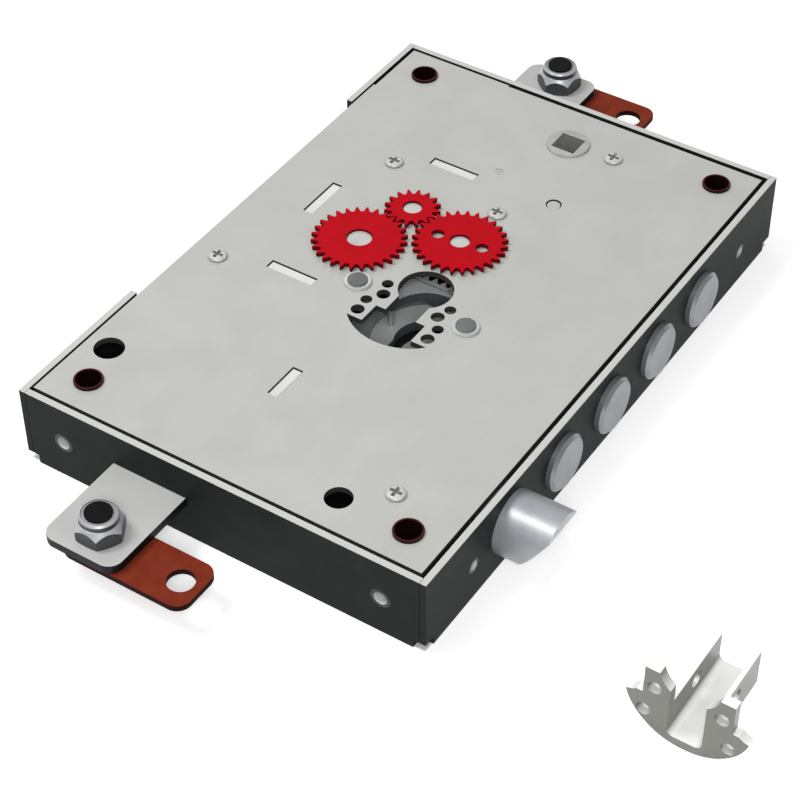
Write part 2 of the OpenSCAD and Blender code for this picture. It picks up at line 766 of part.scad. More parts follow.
// Draw bar between the follower's arm and the latch tail
module draw_bar() {
    top = follower_y - 2.6;
    low = latch_y + 13.5;
    color([0.42, 0.43, 0.42])
    translate([0, 0, draw_z])
    linear_extrude(draw_t)
    difference() {
        union() {
            translate([draw_x0, low]) square([draw_x1 - draw_x0, top - low]);
            translate([draw_x0, top - 5]) square([-4.2 - draw_x0, 5]);
            polygon([[draw_x0, low], [-28.6, low], [-8.95, low - 12.55], [-8.95, low + 5], [draw_x0, low + 5]]);
        }
        for (y = [-8, 44])
            translate([(draw_x0 + draw_x1) / 2 - draw_slot, y - 0.1]) square([2 * draw_slot, 10.2]);
        for (y = [-8, 44], s = [0, 10])
            translate([(draw_x0 + draw_x1) / 2, y + s]) circle(r = draw_slot, $fn = 32);
    }
}

module handle_follower() {
    color([0.62, 0.62, 0.6])
    at([follower_x, follower_y], 0)
    difference() {
        union() {
            translate([0, 0, 0.2]) cylinder(r = 5.6, h = 5);
            translate([0, 0, sheet_t + 0.05]) cylinder(r = 6.9, h = cover_top + 0.8 - sheet_t);
            translate([0, 0, draw_z + draw_t + 0.2]) cylinder(r = 8, h = cover_low - draw_z - draw_t - 0.3);
            translate([-arm_len, -2, draw_z]) cube([arm_len, 4, draw_t]);
            translate([-arm_len, 0, draw_z]) cylinder(r = 2, h = draw_t, $fn = 32);
        }
        translate([-square_w / 2, -square_w / 2, -1]) cube([square_w, square_w, 40]);
    }
}

// Loose bracket of the cylinder: a shaped flange and a channel
module cylinder_bracket() {
    t = 3;
    color([0.72, 0.72, 0.7])
    translate([bracket_x, bracket_y, 0])
    difference() {
        union() {
            translate([0, t, 0])
            rotate([90, 0, 0])
            linear_extrude(t)
            difference() {
                union() {
                    intersection() {
                        translate([0, 18.3]) circle(r = 18.3, $fn = 72);
                        translate([-19, -1]) square([38, 16]);
                    }
                    translate([-12.8, 10]) square([25.6, 14.9]);
                }
                for (s = [-1, 1])
                    translate([s * 18.2, 18.8]) circle(r = 5.2, $fn = 40);
                translate([0, 27]) circle(r = 8.8, $fn = 48);
                for (s = [-1, 1]) {
                    translate([s * 9.6, 18.4]) circle(r = 2.1, $fn = 32);
                    translate([s * 12.2, 8.5]) circle(r = 2.1, $fn = 32);
                }
            }
            translate([0, bracket_len, 0])
            rotate([90, 0, 0])
            linear_extrude(bracket_len)
            intersection() {
                translate([0, 18.3]) circle(r = 18.3, $fn = 72);
                translate([-6.4, -1]) square([12.8, 14.4]);
            }
        }
        translate([0, bracket_len + 1, 0])
            rotate([90, 0, 0])
            linear_extrude(bracket_len + 2) {
                translate([-5.1, 3 + mouth_r]) square([10.2, 40]);
                translate([-5.1 + mouth_r, 3]) square([10.2 - 2 * mouth_r, 40]);
                for (s = [-1, 1])
                    translate([s * (5.1 - mouth_r), 3 + mouth_r]) circle(r = mouth_r, $fn = 32);
            }
        rod_x(-20, 20, 16.3, 8.5, 2.5);
    }
}

case_tray();
cover_plate();
cover_screws();
screw_pillars();
corner_bushes();
upper_rod_rib();
side_rib();
lower_rod_rib();
latch_rib();
cylinder_guard_ring();
rack_guide_plate();
guide_posts();
defender_bushes();
defender_plugs();
front_inserts();
end_inserts();
carriage_guide_pin();
edge_guide_pin();
draw_bar_pins();
idler_pin();
bolt_carriage();
drive_rack();
rack_rivets();
bolt_1();
bolt_2();
bolt_3();
bolt_4();
bolt_pins();
gear_2();
gear_2_shaft();
gear_2_pinion();
idler_gear();
gear_1();
gear_1_shaft();
gear_1_pinion();
upper_rod();
lower_rod();
far_rod_screw();
near_rod_screw();
far_rod_nut();
near_rod_nut();
far_nut_insert();
near_nut_insert();
far_link();
near_link();
latch_bolt();
latch_tail();
latch_tail_pin();
latch_spring();
draw_bar();
handle_follower();
cylinder_bracket();
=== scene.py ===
# %% [markdown]
# # An armoured door lock
# The lock is a folded steel tray with a flat cover, four round bolts and a latch in
# one wall, three red gears on the cover and a rod connector at each end. The solids
# come ready made and stay where they are. This lesson gives them real edges,
# surfaces, light and a camera. It starts by loading the solids as a fixed frame.

# %% Load the frame
import json
import math

import bmesh
import bpy
from mathutils import Matrix, Vector


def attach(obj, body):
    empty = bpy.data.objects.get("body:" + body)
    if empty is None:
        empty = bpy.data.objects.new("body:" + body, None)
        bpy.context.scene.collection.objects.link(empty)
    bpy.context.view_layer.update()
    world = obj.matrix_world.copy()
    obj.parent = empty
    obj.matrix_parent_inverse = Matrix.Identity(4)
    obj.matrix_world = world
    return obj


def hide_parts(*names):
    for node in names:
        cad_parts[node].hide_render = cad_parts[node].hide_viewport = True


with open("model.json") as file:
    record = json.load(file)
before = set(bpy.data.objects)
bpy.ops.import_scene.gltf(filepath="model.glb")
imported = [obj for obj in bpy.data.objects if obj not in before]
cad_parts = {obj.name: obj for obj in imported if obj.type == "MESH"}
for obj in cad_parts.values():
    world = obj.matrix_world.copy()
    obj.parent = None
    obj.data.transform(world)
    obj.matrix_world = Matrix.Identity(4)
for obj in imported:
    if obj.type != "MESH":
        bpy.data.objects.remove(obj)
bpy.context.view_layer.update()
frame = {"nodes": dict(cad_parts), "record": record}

record = frame["record"]
body_of_node = {}
for body_name, members in record["behaviour"]["bodies"].items():
    for member in members:
        body_of_node[member] = body_name
slot_of_node = {part["node"]: part["material_slot"] for part in record["subparts"]}
MM = 0.001
scene = bpy.context.scene
scene.view_settings.view_transform = "Standard"

# %% [markdown]
# ## The camera
# A product photograph like this is taken with a long lens from above one corner.
# The camera is given as an eye point and three directions, which is plainer than
# three turns: the picture's right, its up, and the way back to the eye.

# %% Camera
EYE_MM = (278.11, -432.61, 463.59)
PICTURE_RIGHT = Vector((0.83759, 0.54628, -0.00426))
PICTURE_UP = Vector((-0.37304, 0.57763, 0.72608))
LENS_MM = 100.72
SENSOR_MM = 36

bpy.ops.object.camera_add()
camera = bpy.context.object
camera.name = "picture_camera"
back = PICTURE_RIGHT.cross(PICTURE_UP).normalized()
turn = Matrix((PICTURE_RIGHT, PICTURE_UP, back)).transposed()
camera.matrix_world = Matrix.Translation(Vector(EYE_MM) * MM) @ turn.to_4x4()
camera.data.sensor_width = SENSOR_MM
camera.data.lens = LENS_MM
camera.data.clip_start = 0.01
camera.data.clip_end = 20
scene.camera = camera
print("camera at", [round(v, 3) for v in camera.location])

# %% [markdown]
# ## Colours and nodes
# Colours are written as they are seen on a screen, and shaders want them linear,
# so one function turns them. A second one adds a node with its settings and links,
# which keeps each finish short enough to read. A finish is started with an empty
# material and sealed with its shader, once its patterns are there.

# %% Helpers for materials


def tint(hex_code):
    """Turn a screen colour such as C6C7C2 into a linear one with alpha."""
    channels = [int(hex_code[i:i + 2], 16) / 255 for i in (0, 2, 4)]
    linear = [c / 12.92 if c <= 0.04045 else ((c + 0.055) / 1.055) ** 2.4 for c in channels]
    return (*linear, 1.0)


def add(owner, kind, settings=None, links=None):
    """Add a node: settings fill its properties or inputs, links its inputs from nodes or outputs."""
    made = owner.node_tree.nodes.new(kind)
    for key, value in (settings or {}).items():
        if isinstance(key, int) or key in made.inputs.keys():
            made.inputs[key].default_value = value
        else:
            setattr(made, key, value)
    for key, source in (links or {}).items():
        output = source.outputs[0] if isinstance(source, bpy.types.Node) else source
        owner.node_tree.links.new(output, made.inputs[key])
    return made


def start(name):
    """Begin a material, and give back it and the object coordinates."""
    material = bpy.data.materials.new(name)
    material.use_nodes = True
    material.node_tree.nodes.clear()
    return material, add(material, "ShaderNodeTexCoord").outputs["Object"]


def seal(material, settings, links):
    """Complete a material with its shader."""
    shader = add(material, "ShaderNodeBsdfPrincipled", settings, links)
    add(material, "ShaderNodeOutputMaterial", links={"Surface": shader})
    return material


print("C6C7C2 in linear light:", [round(v, 3) for v in tint("C6C7C2")])

# %% [markdown]
# ## Patterns
# No real surface is one even colour. Coats and plating have slow clouds, and rolling
# or turning leaves fine lines. Where sheet is sheared, its side is rougher. Upright
# sides are also painted darker than level faces, as painted shade for light that falls
# from above. These three patterns are shared by the finishes below. The clouds and the
# lines are noise at a real scale, and the painted side shade is told by its slope.

# %% Clouds, lines and painted side shade
CLOUD_BAND = (0.3, 0.7)
# Upright faces get painted shade below the first slope, fading out by the second.
SIDE_SLOPE = 0.35
FACE_SLOPE = 0.8


def mottle(material, place, low, high, per_metre, detail):
    """Give a cloud pattern, and a colour that wanders with it between two tones."""
    cloud = add(material, "ShaderNodeTexNoise", {"Scale": per_metre, "Detail": detail}, {"Vector": place})
    ramp = add(material, "ShaderNodeValToRGB", links={"Fac": cloud})
    for element, position, tone in zip(ramp.color_ramp.elements, CLOUD_BAND, (low, high)):
        element.position = position
        element.color = tint(tone)
    return cloud, ramp


def fine_lines(material, place, stretch, per_metre, detail):
    """Give fine lines that run along the axes with a small stretch."""
    drawn = add(material, "ShaderNodeMapping", {"Scale": stretch}, {"Vector": place})
    return add(material, "ShaderNodeTexNoise", {"Scale": per_metre, "Detail": detail}, {"Vector": drawn})


def painted_side_shade(material, tone, hex_code, face_slope=FACE_SLOPE):
    """Darken upright faces with painted shade, and fade it away towards level ones."""
    normal = add(material, "ShaderNodeTexCoord").outputs["Normal"]
    up = add(material, "ShaderNodeSeparateXYZ", links={"Vector": normal}).outputs["Z"]
    slope = add(material, "ShaderNodeMath", {"operation": "ABSOLUTE"}, {0: up})
    side = add(material, "ShaderNodeMapRange",
               {"From Min": SIDE_SLOPE, "From Max": face_slope, "To Min": 1.0, "To Max": 0.0},
               {"Value": slope})
    dark = add(material, "ShaderNodeMix", {"data_type": "RGBA", 7: tint(hex_code)}, {0: side, 6: tone})
    return dark.outputs[2]


# The dark on upright faces is painted shade.
print("a cut side is dark below a slope of", SIDE_SLOPE, "and gone above", FACE_SLOPE)

# %% [markdown]
# ## Rolled and zinc coated sheet
# The cover is steel sheet from a rolling mill with a thin dull zinc coat. It gives
# the eye a warm light grey, long faint rolling lines less than a millimetre apart,
# and slow clouds. Real rolling lines are finer; they are drawn coarse enough to
# show. The same recipe makes the other sheet parts, each with painted shade on its
# upright sides. The ribs in the slots are freshly sheared and nearly white. The plates
# inside are duller. The rods have a zinc plate that hardly shines, with their sides
# painted almost black as shade, and the loose bracket is pale with its sides painted
# soft grey as shade.

# %% Sheet steel
ALONG_Y = (1, 0.04, 1)
ALONG_X = (0.04, 1, 1)
CLOUDS_IN_SHEET_PER_M = 60
ROLLING_LINES_PER_M = 1400.0
LINE_DARK = 0.965
LINE_LIGHT = 1.03
ROLLED_SPREAD = 0.06


def rolled_steel(name, low, high, side, metallic, rough, stretch, shine):
    """Sheet with rolling lines along one axis and painted shade on its upright sides."""
    material, place = start(name)
    _, tone = mottle(material, place, low, high, CLOUDS_IN_SHEET_PER_M, detail=5.0)
    lines = fine_lines(material, place, stretch, ROLLING_LINES_PER_M, detail=3.0)
    shade = add(material, "ShaderNodeMapRange", {"To Min": LINE_DARK, "To Max": LINE_LIGHT},
                {"Value": lines})
    colour = add(material, "ShaderNodeVectorMath", {"operation": "SCALE"},
                 {"Vector": painted_side_shade(material, tone, side), "Scale": shade})
    band = add(material, "ShaderNodeMapRange",
               {"To Min": rough - ROLLED_SPREAD, "To Max": rough + ROLLED_SPREAD},
               {"Value": lines})
    grooves = add(material, "ShaderNodeBump", {"Distance": 0.03 * MM, "Strength": 0.25},
                  {"Height": lines})
    return seal(material, {"Metallic": metallic, "Specular IOR Level": shine},
                {"Base Color": colour, "Roughness": band, "Normal": grooves})


# Each row: name, low tone, high tone, painted side shade, metallic, roughness, lines, shine.
SHEET = {
    "cover_steel": ("zinc coated rolled steel", "C5C6C1", "CCCDC8", "3E3F3D", 0.1, 0.5, ALONG_Y, 0.5),
    "bright_rib": ("sheared bright steel", "E2E2DF", "F0F0ED", "9A9A95", 0.2, 0.36, ALONG_X, 0.5),
    "plain_steel": ("dull rolled steel", "D6D8D9", "E4E6E6", "5A5D60", 0.1, 0.45, ALONG_X, 0.5),
    "rod_steel": ("zinc plated rod steel", "C3C4C1", "CECFCC", "131518", 0.0, 0.45, ALONG_X, 0.15),
    "bracket_steel": ("zinc plated bracket steel", "DCDCD9", "EAEAE7", "82827C", 0.2, 0.36,
                      ALONG_X, 0.5),
}
finishes = {slot_name: rolled_steel(*row) for slot_name, row in SHEET.items()}
print("sheet finishes:", sorted(finishes))

# %% [markdown]
# ## Graphite coated tray
# The tray is sheet steel under a baked graphite powder coat, which leaves a fine
# pebbled skin about half a millimetre apart. The top edges of its walls are sheared
# after coating and show light bare steel. The material tells them apart by height.
# A ring of the floor under the cylinder opening, chosen by its distance from the
# opening's middle, is painted light grey as painted light falling in through the
# opening. The threaded inserts are pressed into the walls before coating, so their
# outer ends carry the coat and only their bores are bright.

# %% Tray coat
RIM_MM = 27.0
FLOOR_MM = 2.0
CYLINDER_MM = (5.0, -3.0)
HALF_WIDTH_MM = 69.0
HALF_LENGTH_MM = 103.0
BARE_RIM_MM = 0.12
PAINTED_LIGHT_RING_MM = 22
PAINTED_LIGHT_RING_HALF_MM = 5
COAT_ON_INSERT_MM = 0.06
CLOUDS_IN_COAT_PER_M = 90
CLOUDS_ON_INSERT_PER_M = 300
PEBBLES_PER_M = 1800.0


def graphite_coat():
    """Dark coat on the tray, bare on its rim, with painted light in a ring under the opening."""
    material, place = start("graphite powder coat")
    _, tone = mottle(material, place, "1E2120", "272A29", CLOUDS_IN_COAT_PER_M, detail=5.0)
    height = add(material, "ShaderNodeSeparateXYZ", links={"Vector": place}).outputs["Z"]
    on_rim = add(material, "ShaderNodeMath",
                 {"operation": "GREATER_THAN", 1: (RIM_MM - BARE_RIM_MM) * MM}, {0: height})
    walls = add(material, "ShaderNodeMix", {"data_type": "RGBA", 7: tint("D3D3D0")},
                {0: on_rim, 6: tone}).outputs[2]
    # A ring of the floor under the opening is painted light grey as painted light.
    middle = Vector((*CYLINDER_MM, FLOOR_MM)) * MM
    apart = add(material, "ShaderNodeVectorMath", {"operation": "DISTANCE", 1: middle}, {0: place})
    painted_light_ring = add(material, "ShaderNodeMath",
                  {"operation": "COMPARE", 1: PAINTED_LIGHT_RING_MM * MM, 2: PAINTED_LIGHT_RING_HALF_MM * MM},
                  {0: apart.outputs["Value"]})
    colour = add(material, "ShaderNodeMix", {"data_type": "RGBA", 7: tint("B2B7BA")},
                 {0: painted_light_ring, 6: walls}).outputs[2]
    skin = add(material, "ShaderNodeTexNoise", {"Scale": PEBBLES_PER_M, "Detail": 2.0},
               {"Vector": place})
    pebbles = add(material, "ShaderNodeBump", {"Distance": 0.05 * MM, "Strength": 0.3},
                  {"Height": skin})
    return seal(material, {"Roughness": 0.5, "Specular IOR Level": 0.08},
                {"Base Color": colour, "Normal": pebbles})


def beyond_walls(material, place, inset_mm):
    """Give 1 outside the case's four walls, less an inset, and 0 within them."""
    split = add(material, "ShaderNodeSeparateXYZ", links={"Vector": place})
    marks = {}
    for axis, half_mm in enumerate((HALF_WIDTH_MM, HALF_LENGTH_MM)):
        away = add(material, "ShaderNodeMath", {"operation": "ABSOLUTE"}, {0: split.outputs[axis]})
        marks[axis] = add(material, "ShaderNodeMath",
                          {"operation": "GREATER_THAN", 1: (half_mm - inset_mm) * MM}, {0: away})
    return add(material, "ShaderNodeMath", {"operation": "MAXIMUM"}, marks)


def painted_insert():
    """Zinc inside, and the tray's coat where the insert's end lies in the wall's face."""
    material, place = start("zinc insert under the coat")
    cloud, tone = mottle(material, place, "D8DAD9", "ECEDEB", CLOUDS_ON_INSERT_PER_M, detail=3.0)
    outer = beyond_walls(material, place, COAT_ON_INSERT_MM)
    colour = add(material, "ShaderNodeMix", {"data_type": "RGBA", 7: tint("1C1F1F")},
                 {0: outer, 6: tone}).outputs[2]
    band = add(material, "ShaderNodeMapRange", {"To Min": 0.3, "To Max": 0.42}, {"Value": cloud})
    return seal(material, {"Metallic": 0.2}, {"Base Color": colour, "Roughness": band})


finishes["graphite_steel"] = graphite_coat()
finishes["painted_insert"] = painted_insert()
print("coated finishes: graphite_steel, painted_insert")

# %% [markdown]
# ## Turned and plated parts
# Bolts and the latch are turned steel with a satin nickel plate. Turning leaves
# rings round the axis, which lies along X on the bolts. Pins and shafts are the same
# steel with less polish, and share one recipe with other tones: bright zinc on the
# bushes beside the cylinder, grey phosphate on their plugs, and black oxide with
# almost no shine on the rod screws. The latch spring is drawn wire, which is the most
# metallic of them. The pinion under the opening is painted a near black dark red, as
# painted shade where it lies in the shadow under the gear.

# %% Turned metal
CLOUDS_ON_TURNED_PER_M = 150
RING_APART_MM = 0.35
ROUND_X = (1, 0.03, 0.03)
TURNED_SPREAD = 0.07


def turned_metal(name, low, high, metallic, rough, shine):
    """Plated steel with fine turning rings round X."""
    material, place = start(name)
    _, tone = mottle(material, place, low, high, CLOUDS_ON_TURNED_PER_M, detail=3.0)
    rings = fine_lines(material, place, ROUND_X, 1 / (RING_APART_MM * MM), detail=2.0)
    band = add(material, "ShaderNodeMapRange",
               {"To Min": rough - TURNED_SPREAD, "To Max": rough + TURNED_SPREAD},
               {"Value": rings})
    grooves = add(material, "ShaderNodeBump", {"Distance": 0.02 * MM, "Strength": 0.2},
                  {"Height": rings})
    return seal(material, {"Metallic": metallic, "Specular IOR Level": shine},
                {"Base Color": tone, "Roughness": band, "Normal": grooves})


# Each row: name, low tone, high tone, metallic, roughness, shine.
TURNED = {
    "bolt_steel": ("satin nickel plated steel", "929398", "A1A2A7", 0.55, 0.34, 0.5),
    "latch_steel": ("drawn nickel plated steel", "B4B5BB", "C2C3C8", 0.42, 0.38, 0.5),
    "screw_steel": ("zinc plated screw steel", "B4B6B4", "CBCCC9", 0.6, 0.33, 0.5),
    "shaft_steel": ("faced shaft steel", "C9C9C6", "DBDBD8", 0.3, 0.4, 0.5),
    "bright_insert": ("bright zinc insert", "C8CAC9", "DEDFDD", 0.55, 0.3, 0.5),
    "spring_steel": ("drawn spring steel", "A9AAA8", "C4C5C3", 0.7, 0.3, 0.5),
    "dark_plug": ("phosphated steel", "6C6E70", "828486", 0.4, 0.42, 0.5),
    "black_steel": ("black oxide steel", "08090A", "111214", 0.0, 0.5, 0.12),
    # The pinion's near black dark red is painted shade.
    "pinion_steel": ("hardened pinion steel", "1D0F11", "271517", 0.1, 0.45, 0.2),
}
for slot_name, row in TURNED.items():
    finishes[slot_name] = turned_metal(*row)
print("turned finishes:", list(TURNED))

# %% [markdown]
# ## Nuts and cover screws
# The nuts are bright on the turned slopes and are painted darker on the upright flats
# and collar side, as shade from the light above, so their colour follows the slope.
# The cover screws are pale zinc, with painted shade in their recessed cross, on the
# low band of each head and on the upright rim. The painted shade is told by its
# height, below a line just above the cross's floor.

# %% Nut and screw metal
NUT_FACE_SLOPE = 0.52
COVER_TOP_MM = RIM_MM
CROSS_FLOOR_MM = 0.35
JUST_ABOVE_MM = 0.05


def nut_metal():
    """Bright turned slopes, and painted shade on the upright flats."""
    material, place = start("zinc plated nut steel")
    cloud, tone = mottle(material, place, "BCBDC2", "D2D3D7", CLOUDS_ON_TURNED_PER_M, detail=3.0)
    colour = painted_side_shade(material, tone, "46474E", NUT_FACE_SLOPE)
    band = add(material, "ShaderNodeMapRange", {"To Min": 0.32, "To Max": 0.42}, {"Value": cloud})
    return seal(material, {"Metallic": 0.35}, {"Base Color": colour, "Roughness": band})


def screw_metal():
    """Pale zinc on the head, with painted shade on its rim and in its cross."""
    material, place = start("dull zinc screw steel")
    cloud, tone = mottle(material, place, "CFD0CD", "DCDDDA", CLOUDS_ON_TURNED_PER_M, detail=3.0)
    head = painted_side_shade(material, tone, "9A9A98")
    height = add(material, "ShaderNodeSeparateXYZ", links={"Vector": place}).outputs["Z"]
    # Everything below a line just above the cross's floor gets painted shade.
    top_of_painted_shade = (COVER_TOP_MM + CROSS_FLOOR_MM + JUST_ABOVE_MM) * MM
    below = add(material, "ShaderNodeMath", {"operation": "LESS_THAN", 1: top_of_painted_shade}, {0: height})
    colour = add(material, "ShaderNodeMix", {"data_type": "RGBA", 7: tint("8C8C8A")},
                 {0: below, 6: head}).outputs[2]
    band = add(material, "ShaderNodeMapRange", {"To Min": 0.42, "To Max": 0.52}, {"Value": cloud})
    return seal(material, {"Metallic": 0.15}, {"Base Color": colour, "Roughness": band})


finishes["nut_steel"] = nut_metal()
finishes["pale_screw"] = screw_metal()
print("nut and screw finishes: nut_steel, pale_screw")

# %% [markdown]
# ## Painted parts
# The gears are stamped and sprayed a deep signal red, the link plates a brown red
# primer, and the corner bushes a dark brown. Sprayed paint has a soft orange peel,
# here half a millimetre to one millimetre across, and the primer is more matte and
# more uneven. The nylon rings in the nuts share the recipe, because moulding leaves
# much the same skin. Their grey tone is painted shade, for the rings sit deep in the nuts.

# %% Paint
CLOUDS_IN_PAINT_PER_M = 220
PAINT_SPREAD = 0.05


def sprayed_paint(name, low, high, side, rough, peel_mm, depth_mm, coat):
    """Paint with a soft orange peel and painted shade on its upright sides."""
    material, place = start(name)
    cloud, tone = mottle(material, place, low, high, CLOUDS_IN_PAINT_PER_M, detail=4.0)
    band = add(material, "ShaderNodeMapRange",
               {"To Min": rough - PAINT_SPREAD, "To Max": rough + PAINT_SPREAD},
               {"Value": cloud})
    peel = add(material, "ShaderNodeTexNoise", {"Scale": 1 / (peel_mm * MM), "Detail": 1.5},
               {"Vector": place})
    dimples = add(material, "ShaderNodeBump", {"Distance": depth_mm * MM, "Strength": 0.35},
                  {"Height": peel})
    return seal(material,
                {"Specular IOR Level": 0.06, "Coat Weight": coat, "Coat Roughness": 0.25},
                {"Base Color": painted_side_shade(material, tone, side), "Roughness": band, "Normal": dimples})


# Each row: name, low tone, high tone, painted side shade, roughness, peel, its depth, clear coat.
PAINT = {
    "red_gear": ("signal red enamel", "BC0617", "C6081A", "5E040D", 0.5, 1.0, 0.03, 0.0),
    "brown_link": ("brown red primer", "7B2E1C", "8A3723", "280C09", 0.62, 0.5, 0.06, 0.0),
    "brown_bush": ("dark brown enamel", "45120F", "551A16", "1A0A09", 0.4, 0.8, 0.02, 0.15),
    # The nylon's grey tone is painted shade.
    "nylon": ("natural nylon", "9C9D9A", "ABACA9", "7E7F7C", 0.5, 0.6, 0.02, 0.0),
}
for slot_name, row in PAINT.items():
    finishes[slot_name] = sprayed_paint(*row)
print("painted finishes:", list(PAINT))

# %% [markdown]
# ## Each solid gets its finish
# The record names a material slot for each solid, and most finishes are called after
# their slot. A few pieces look different from the rest of their slot in the
# photograph, so they are named here with a finish of their own.

# %% Finishes on the solids
OWN_FINISH = {
    "upper_rod": "rod_steel", "lower_rod": "rod_steel",
    "front_inserts": "painted_insert", "end_inserts": "painted_insert",
    "latch_bolt": "latch_steel", "edge_guide_pin": "cover_steel",
    "cover_screws": "pale_screw", "cylinder_bracket": "bracket_steel",
    "gear_2_pinion": "pinion_steel",
}
for node_name, slot_name in slot_of_node.items():
    solid = frame["nodes"][node_name]
    solid.data.materials.clear()
    solid.data.materials.append(finishes[OWN_FINISH.get(node_name, slot_name)])
print("finishes:", len(finishes), "pieces with their own:", len(OWN_FINISH))

# %% [markdown]
# ## Broken edges
# No real edge is perfectly sharp. Sheared sheet has a radius of one to three tenths
# of a millimetre, and that line of light tells the eye it is metal. A solid's mesh is
# loose triangles, so a copy is merged, its flat faces are dissolved into one, and a
# Bevel modifier rounds the edges. The copy then stands for the solid.

# %% Tools for broken edges
FLAT_ANGLE = math.radians(2)
EDGE_ANGLE = math.radians(32)
EDGE_STEPS = 2
FACE_WEIGHT = 100


def only(thing):
    """Select one object and nothing else."""
    bpy.ops.object.select_all(action="DESELECT")
    thing.select_set(True)
    bpy.context.view_layer.objects.active = thing


def stand_for(piece, *nodes):
    """Let a piece take the place and the body of one or more solids."""
    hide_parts(*nodes)
    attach(piece, body_of_node[nodes[0]])


def even_shading(piece):
    """Shade round faces smooth, and let each large flat face keep its own normal."""
    only(piece)
    bpy.ops.object.shade_smooth_by_angle(angle=EDGE_ANGLE)
    weighted = piece.modifiers.new("flat faces", "WEIGHTED_NORMAL")
    weighted.weight = FACE_WEIGHT
    weighted.keep_sharp = True
    bpy.ops.object.modifier_apply(modifier=weighted.name)


def merge_and_round(piece, merge_mm, width_mm):
    """Merge corners, make each flat patch one face, and round the sharp edges."""
    only(piece)
    bpy.ops.object.mode_set(mode="EDIT")
    bpy.ops.mesh.select_all(action="SELECT")
    bpy.ops.mesh.remove_doubles(threshold=merge_mm * MM)
    bpy.ops.mesh.dissolve_limited(angle_limit=FLAT_ANGLE)
    bpy.ops.object.mode_set(mode="OBJECT")
    bevel = piece.modifiers.new("edge", "BEVEL")
    bevel.width = width_mm * MM
    bevel.segments = EDGE_STEPS
    bevel.limit_method = "ANGLE"
    bevel.angle_limit = EDGE_ANGLE
    bpy.ops.object.modifier_apply(modifier=bevel.name)
    even_shading(piece)


print("edges sharper than", round(math.degrees(EDGE_ANGLE)), "degrees are rounded")

# %% Round the edges of copies
SOLID_MERGE_MM = 0.005
EDGES_MM = {
    "case_tray": 0.25, "cover_plate": 0.15, "upper_rod": 0.25, "lower_rod": 0.25,
    "far_link": 0.3, "near_link": 0.3, "cylinder_bracket": 0.3, "latch_bolt": 0.35,
    "bolt_1": 0.2, "bolt_2": 0.2, "bolt_3": 0.2, "bolt_4": 0.2, "corner_bushes": 0.2,
    "defender_bushes": 0.2, "defender_plugs": 0.15, "handle_follower": 0.25,
    "upper_rod_rib": 0.12, "lower_rod_rib": 0.12, "side_rib": 0.12, "latch_rib": 0.12,
    "gear_1": 0.1, "gear_2": 0.1, "idler_gear": 0.1, "gear_1_shaft": 0.2, "gear_2_shaft": 0.2,
    "idler_pin": 0.2, "edge_guide_pin": 0.2, "front_inserts": 0.15, "end_inserts": 0.2,
    "cover_screws": 0.08, "drive_rack": 0.08, "cylinder_guard_ring": 0.2, "rack_guide_plate": 0.15,
}


def soften(node_name, width_mm):
    """Copy a solid, clean the copy and round its edges."""
    solid = frame["nodes"][node_name]
    copy = solid.copy()
    copy.data = solid.data.copy()
    copy.name = node_name + "_dressed"
    copy.parent = None
    for key in list(copy.keys()):
        del copy[key]
    for group in solid.users_collection:
        group.objects.link(copy)
    merge_and_round(copy, SOLID_MERGE_MM, width_mm)
    stand_for(copy, node_name)
    return copy


dressed = {node_name: soften(node_name, width) for node_name, width in EDGES_MM.items()}
print("dressed:", len(dressed))

# %% [markdown]
# ## Locking nuts
# Each connector has a locking nut: a hexagon whose corners are turned off at
# fifty-six degrees, a rolled collar above it, and a nylon ring inside. A cylinder
# with six sides keeps only what lies inside one turned shape, and that gives it the
# curved corners, as turning does. A second turned shape bores it, wider at the
# bore's mouth and where the nylon ring sits.

# %% Tools for turned shapes
SPIN_STEPS = 48
SPIN_MERGE_MM = 0.002


def turned_profile(name, points, place):
    """Spin a closed profile of radius and height about a vertical line."""
    mesh = bpy.data.meshes.new(name)
    shape = bmesh.new()
    corners = [shape.verts.new(((place[0] + r) * MM, place[1] * MM, z * MM)) for r, z in points]
    for a, b in zip(corners, corners[1:] + corners[:1]):
        shape.edges.new((a, b))
    shape.to_mesh(mesh)
    shape.free()
    made = bpy.data.objects.new(name, mesh)
    scene.collection.objects.link(made)
    only(made)
    bpy.ops.object.mode_set(mode="EDIT")
    bpy.ops.mesh.select_all(action="SELECT")
    bpy.ops.mesh.spin(steps=SPIN_STEPS, angle=2 * math.pi, axis=(0, 0, 1),
                      center=(place[0] * MM, place[1] * MM, 0))
    bpy.ops.mesh.select_all(action="SELECT")
    bpy.ops.mesh.remove_doubles(threshold=SPIN_MERGE_MM * MM)
    bpy.ops.mesh.normals_make_consistent(inside=False)
    bpy.ops.object.mode_set(mode="OBJECT")
    return made


def combine(piece, other, operation):
    """Intersect or cut a piece with another one, which is used up."""
    only(piece)
    cut = piece.modifiers.new("cut", "BOOLEAN")
    cut.operation = operation
    cut.solver = "EXACT"
    cut.object = other
    bpy.ops.object.modifier_apply(modifier=cut.name)
    bpy.data.objects.remove(other, do_unlink=True)


print("a turned shape has", SPIN_STEPS, "sides")

# %% Two locking nuts
# Sizes and places are in millimetres.
ACROSS_FLATS = 13.0
NUT_LOW = 15.2
HEX_HIGH = 5.9
COLLAR_HIGH = 2.1
COLLAR_R = 5.75
COLLAR_TOP_R = 5.25
COLLAR_SLOPE_HIGH = 0.6
NYLON_R = 5.02
STUD_R = 4.01
CHAMFER = math.radians(56)
CHAMFER_IN = 0.6
FOOT_HIGH = 0.6
MOUTH_WIDE = 0.6
MOUTH_HIGH = 0.3
SPARE = 0.1
NUT_AXIS_R = 0.01
BORE_AXIS_R = 0.001
BORE_BELOW = 1
BORE_ABOVE = 3
NUT_MERGE_MM = 0.02
NUT_EDGE_MM = 0.12
NEAR_STUD = (-22.1, -125.9)
FAR_STUD = (-22.1, 123.8)
NEAR_SPIN = math.radians(30)
FAR_SPIN = math.radians(52)


